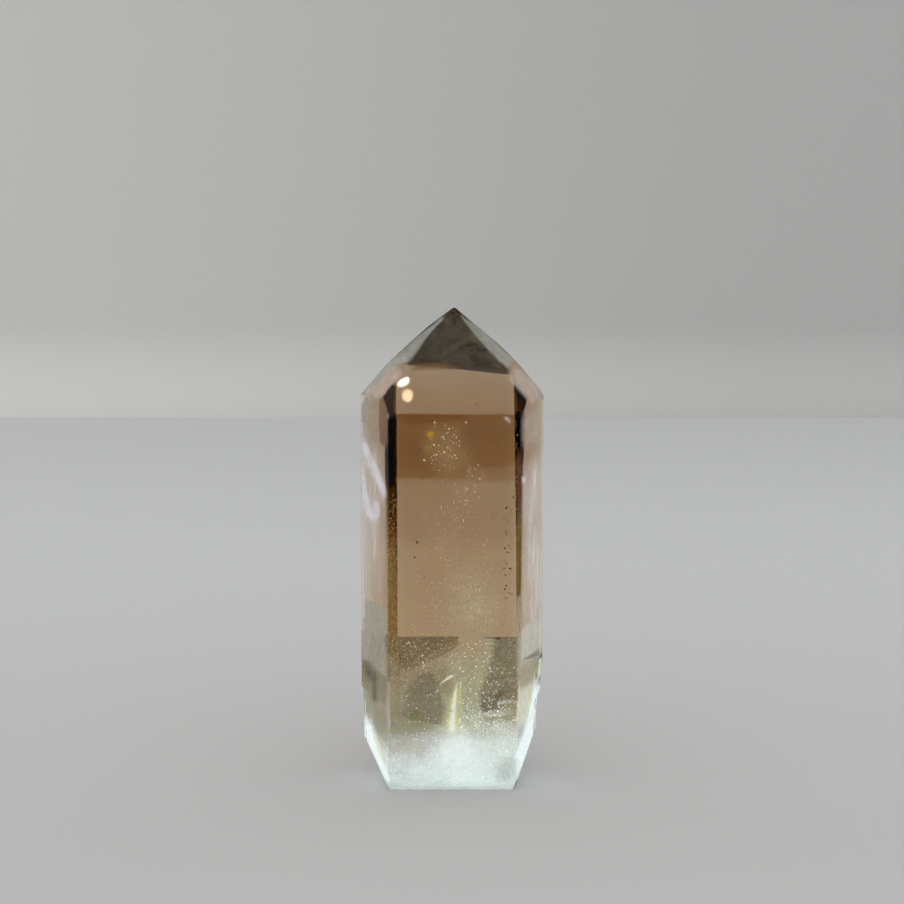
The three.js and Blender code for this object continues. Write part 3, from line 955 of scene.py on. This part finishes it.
specks = {
    # colour, second colour, glow, clouds as count, low and high corner and least and most size,
    # and larger single ones just under the skin as x, z and size, all in mm
    # the pinpoints glow: painted glints
    "sparks": ((0.84, 0.92, 0.92), (0.76, 0.80, 0.72), 0.70, [
        (16, (-6.4, -6.74, 15.6), (0.6, -6.62, 19.4), 0.07, 0.11),
        (12, (-6.2, -6.74, 9.0), (-1.2, -6.62, 14.4), 0.06, 0.095),
        (50, (0.9, -6.74, 11.6), (5.2, -6.62, 19.4), 0.065, 0.12),
        (22, (4.4, -6.74, 11.0), (8.2, -6.62, 16.0), 0.06, 0.095),
        (190, (0.9, -6.74, 7.4), (8.2, -6.62, 11.6), 0.055, 0.095),
        (26, (-7.8, -6.74, 6.2), (0.0, -6.62, 9.4), 0.06, 0.11),
        (30, (-6.0, -6.74, 1.2), (7.0, -6.62, 6.0), 0.06, 0.10),
        (700, (-9.5, -6.3, 1.0), (9.5, 6.3, 18.0), 0.05, 0.095),
    ], []),
    "dust": ((0.72, 0.70, 0.57), (0.60, 0.57, 0.45), 0.30, [
        (150, (-6.6, -6.74, 15.0), (1.0, -6.62, 19.6), 0.06, 0.10),
        (90, (-8.0, -6.74, 12.0), (-6.6, -6.62, 19.6), 0.05, 0.075),
        (120, (-6.4, -6.74, 8.8), (-1.0, -6.62, 14.6), 0.055, 0.09),
        (190, (0.6, -6.74, 11.6), (5.4, -6.62, 19.8), 0.055, 0.085),
        (360, (4.2, -6.74, 11.4), (8.4, -6.62, 19.6), 0.05, 0.07),
        (60, (-4.0, -6.74, 14.0), (1.0, -6.62, 17.4), 0.055, 0.09),
        (110, (-5.0, -6.74, 19.4), (8.0, -6.65, 28.0), 0.06, 0.085),
        (30, (-4.0, -6.74, 28.0), (4.0, -6.65, 39.0), 0.06, 0.08),
        (900, (-9.5, -6.3, 1.0), (9.5, 6.3, 24.0), 0.045, 0.08),
    ], []),
    "goldFlecks": ((0.75, 0.52, 0.14), (0.50, 0.32, 0.08), 0.35, [
        (300, (-8.0, -6.74, 17.0), (-6.7, -6.5, 38.0), 0.045, 0.07),
        (70, (8.1, -6.6, 17.0), (8.8, -5.0, 38.0), 0.045, 0.07),
        (30, (7.7, -6.74, 28.0), (7.95, -6.60, 47.5), 0.05, 0.09),
        (120, (-7.0, -5.0, 17.0), (8.0, 5.0, 46.0), 0.04, 0.07),
    ], []),
    "darkSpecks": ((0.10, 0.03, 0.012), (0.16, 0.06, 0.03), 0.0, [
        (30, (6.2, -6.74, 24.0), (7.5, -6.60, 38.5), 0.07, 0.15),
        (70, (-6.5, -6.5, 20.0), (7.5, 1.0, 46.0), 0.04, 0.08),
    ], [
        (3.0, 49.1, 0.14), (2.8, 51.2, 0.10), (3.2, 46.7, 0.15), (-4.3, 31.9, 0.19), (-4.6, 30.0, 0.14),
    ]),
    # close together in the brown part, and thinly down the front
    "lightCrumbs": ((0.80, 0.68, 0.50), (0.66, 0.54, 0.37), 0.45, [
        (26, (-3.0, -6.74, 40.6), (1.6, -6.65, 46.6), 0.06, 0.095),
        (14, (-1.4, -6.74, 42.8), (1.2, -6.65, 46.2), 0.065, 0.105),
        (12, (1.2, -6.74, 38.2), (3.8, -6.65, 42.6), 0.06, 0.095),
        (34, (-2.0, -6.74, 32.0), (2.6, -6.65, 39.6), 0.06, 0.085),
        (64, (-3.0, -6.74, 19.8), (5.0, -6.65, 33.0), 0.065, 0.09),
    ], [
        (-2.1, 46.9, 0.16), (1.7, 46.9, 0.15), (-0.35, 46.1, 0.13), (-1.1, 45.1, 0.11), (-2.2, 44.1, 0.14),
        (-1.6, 44.05, 0.11), (-0.95, 43.2, 0.14), (-1.85, 42.9, 0.12), (-2.2, 42.8, 0.11),
        (-3.4, 42.2, 0.19), (3.2, 41.6, 0.12), (2.8, 41.1, 0.12), (3.35, 39.9, 0.13), (2.8, 38.3, 0.11),
        (1.65, 37.2, 0.12),
    ]),
}


def speckMaterial(name, first, second, glow):
    # any glow is painted light: the specks and needles shine as if they caught the light
    material, tree, shader = newMaterial(name, first, 0.5)
    patches = addNoise(tree, -700, 0, Scale=speckFit["patchScale"])
    paint(tree, shader, addTint(tree, -400, 0, patches, second, first), glow)
    return material


def scatterGroup():
    # puts a small crystal, sized and turned by its own values, on each point
    group = bpy.data.node_groups.new("scatterSpecks", "GeometryNodeTree")
    group.interface.new_socket("Geometry", in_out="INPUT", socket_type="NodeSocketGeometry")
    group.interface.new_socket("Geometry", in_out="OUTPUT", socket_type="NodeSocketGeometry")
    own = {}
    for row, name in enumerate(("size", "turn")):
        own[name] = addNode(group, "GeometryNodeInputNamedAttribute", -800, -400 - 200 * row)
        own[name].data_type = "FLOAT_VECTOR"
        own[name].inputs["Name"].default_value = name
    given = addNode(group, "NodeGroupInput", -800, 0)
    grain = addNode(group, "GeometryNodeMeshIcoSphere", -800, -200)
    euler = addNode(group, "FunctionNodeEulerToRotation", -600, -600, Euler=own["turn"].outputs["Attribute"])
    place = addNode(group, "GeometryNodeInstanceOnPoints", -400, 0, Points=given.outputs["Geometry"],
                    Instance=grain.outputs["Mesh"], Rotation=euler.outputs[0],
                    Scale=own["size"].outputs["Attribute"])
    real = addNode(group, "GeometryNodeRealizeInstances", -200, 0, Geometry=place.outputs[0])
    addNode(group, "NodeGroupOutput", 200, 0, Geometry=real.outputs[0])
    return group


def scatterSpecks(name, points, chance, material):
    bm = bmesh.new()
    size = bm.verts.layers.float_vector.new("size")
    turn = bm.verts.layers.float_vector.new("turn")
    for place, reach in points:
        vert = bm.verts.new(place)
        narrow, flat = chance.uniform(*speckFit["narrow"]), chance.uniform(*speckFit["flat"])
        vert[size] = (reach, reach * narrow, reach * flat)
        vert[turn] = [chance.uniform(0, math.pi) for _ in range(3)]
    points = newPiece(name, bm, material)
    points.modifiers.new("scatter", "NODES").node_group = scatterNodes
    bpy.context.view_layer.update()
    real = bpy.data.meshes.new_from_object(points.evaluated_get(bpy.context.evaluated_depsgraph_get()))
    real.materials.clear()
    real.materials.append(material)
    bpy.data.objects.remove(points)
    piece = bpy.data.objects.new(name, real)
    bpy.context.scene.collection.objects.link(piece)
    partOfCrystal(piece)


def makeSpecks():
    for name, (first, second, glow, clouds, singles) in specks.items():
        chance = random.Random(name)
        points = []
        for count, low, high, least, most in clouds:
            for _ in range(count):
                place = Vector([chance.uniform(a, b) for a, b in zip(low, high)]) * mm
                if isInside(place, speckFit["clearance"]):
                    points.append((place, least * (most / least) ** chance.random() * mm))
        for x, z, size in singles:
            points.append((underSkin(x * mm, z * mm, speckFit["singleDepth"]), size * mm))
        scatterSpecks(name, points, chance, speckMaterial(name, first, second, glow))


# fine needles that cross in the clear patch of the foot

needles = {
    "colour": (0.85, 0.90, 0.86),
    "secondColour": (0.7, 0.7, 0.6),
    "glow": 0.3,
    "radius": 0.025 * mm,
    "tip": 0.3,                             # its thin end's share of the radius
    "sides": 6,
    "depth": 0.05,                          # mm behind the front face
    "lean": 0.008,                          # how much deeper each one starts than the last, in mm
    "ends": [((5.9, 4.1), (7.5, 1.8)), ((6.4, 4.5), (8.0, 2.9)), ((5.3, 2.6), (6.8, 4.0)),
             ((6.8, 3.3), (7.0, 1.0)), ((5.0, 3.6), (6.4, 1.8)), ((3.4, 7.0), (7.9, 5.1))],
}


def makeNeedles():
    bm = bmesh.new()
    front = cadLow.y / mm + needles["depth"]
    for number, ((x1, z1), (x2, z2)) in enumerate(needles["ends"]):
        start = Vector((x1, front + needles["lean"] * number, z1)) * mm
        end = Vector((x2, front + needles["lean"] * number, z2)) * mm
        lie = (end - start).to_track_quat("Z", "Y").to_matrix().to_4x4()
        bmesh.ops.create_cone(bm, cap_ends=True, segments=needles["sides"], radius1=needles["radius"],
                              radius2=needles["radius"] * needles["tip"], depth=(end - start).length,
                              matrix=Matrix.Translation((start + end) / 2) @ lie)
    pale = speckMaterial("needles", needles["colour"], needles["secondColour"], needles["glow"])
    partOfCrystal(newPiece("needles", bm, pale))


print("milk")
makeMilk()
print("specks")
scatterNodes = scatterGroup()
makeSpecks()
makeNeedles()
